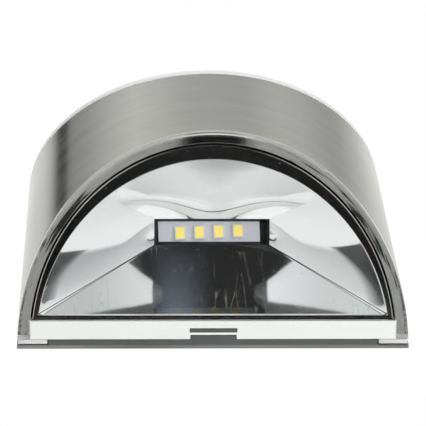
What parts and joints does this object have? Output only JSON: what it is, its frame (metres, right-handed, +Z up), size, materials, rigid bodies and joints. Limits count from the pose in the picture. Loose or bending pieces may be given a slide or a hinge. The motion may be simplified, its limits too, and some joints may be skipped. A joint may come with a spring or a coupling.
{
  "type": "solar wall light",
  "caption": "Half-round brushed-steel solar wall light with slanted ends: solar panel on top, lensed LED reflector below, hung on a wall bracket by keyholes.",
  "frame": {"origin": "centre of the wall plate's back face, on the wall", "axes": "+X along the wall, +Y into the wall, +Z up; the lamp stands out towards -Y"},
  "size_m": [0.1, 0.05, 0.0826],
  "materials": {
    "steel": "brushed",
    "white_plastic": "satin",
    "grey_plastic": "satin",
    "clear_plastic": "clear",
    "black_rubber": "gloss",
    "mirror_coat": "vacuum metallised",
    "black_plastic": "satin",
    "white_board": "solder mask",
    "phosphor": "clear resin",
    "solar_cell": "dark blue",
    "green_board": "solder mask",
    "cell_wrap": "shrink wrap",
    "nickel": "nickel plated"
  },
  "bodies": {
    "wall_mount": {"wall_plate": "steel", "wall_bracket": "grey_plastic"},
    "lamp": {"steel_band": "steel", "housing": "white_plastic", "lens_cover": "clear_plastic", "lens_gasket": "black_rubber", "reflector": "mirror_coat", "led_board": "white_board", "led_packages": "white_plastic", "led_phosphors": "phosphor", "strip_holder": "black_plastic", "led_board_screws": "nickel", "solar_cover": "clear_plastic", "panel_tray": "black_plastic", "solar_panel": "black_plastic", "solar_cells": "solar_cell", "battery": "cell_wrap", "battery_terminals": "nickel", "contact_positive": "nickel", "contact_negative": "nickel", "battery_door": "white_plastic", "door_seal": "black_rubber", "door_screws": "nickel", "control_board": "green_board", "board_screws": "nickel", "driver_chip": "black_plastic", "inductor": "black_plastic", "switch_body": "black_plastic"},
    "switch": {"switch_knob": "black_plastic"}
  },
  "joints": [
    {"name": "lamp_lift", "type": "slide", "parent": "wall_mount", "child": "lamp", "axis": [0, 0, 1], "range_m": [0, 0.007]},
    {"name": "switch_slide", "type": "slide", "parent": "lamp", "child": "switch", "axis": [1, 0, 0], "range_m": [0, 0.002]}
  ]
}
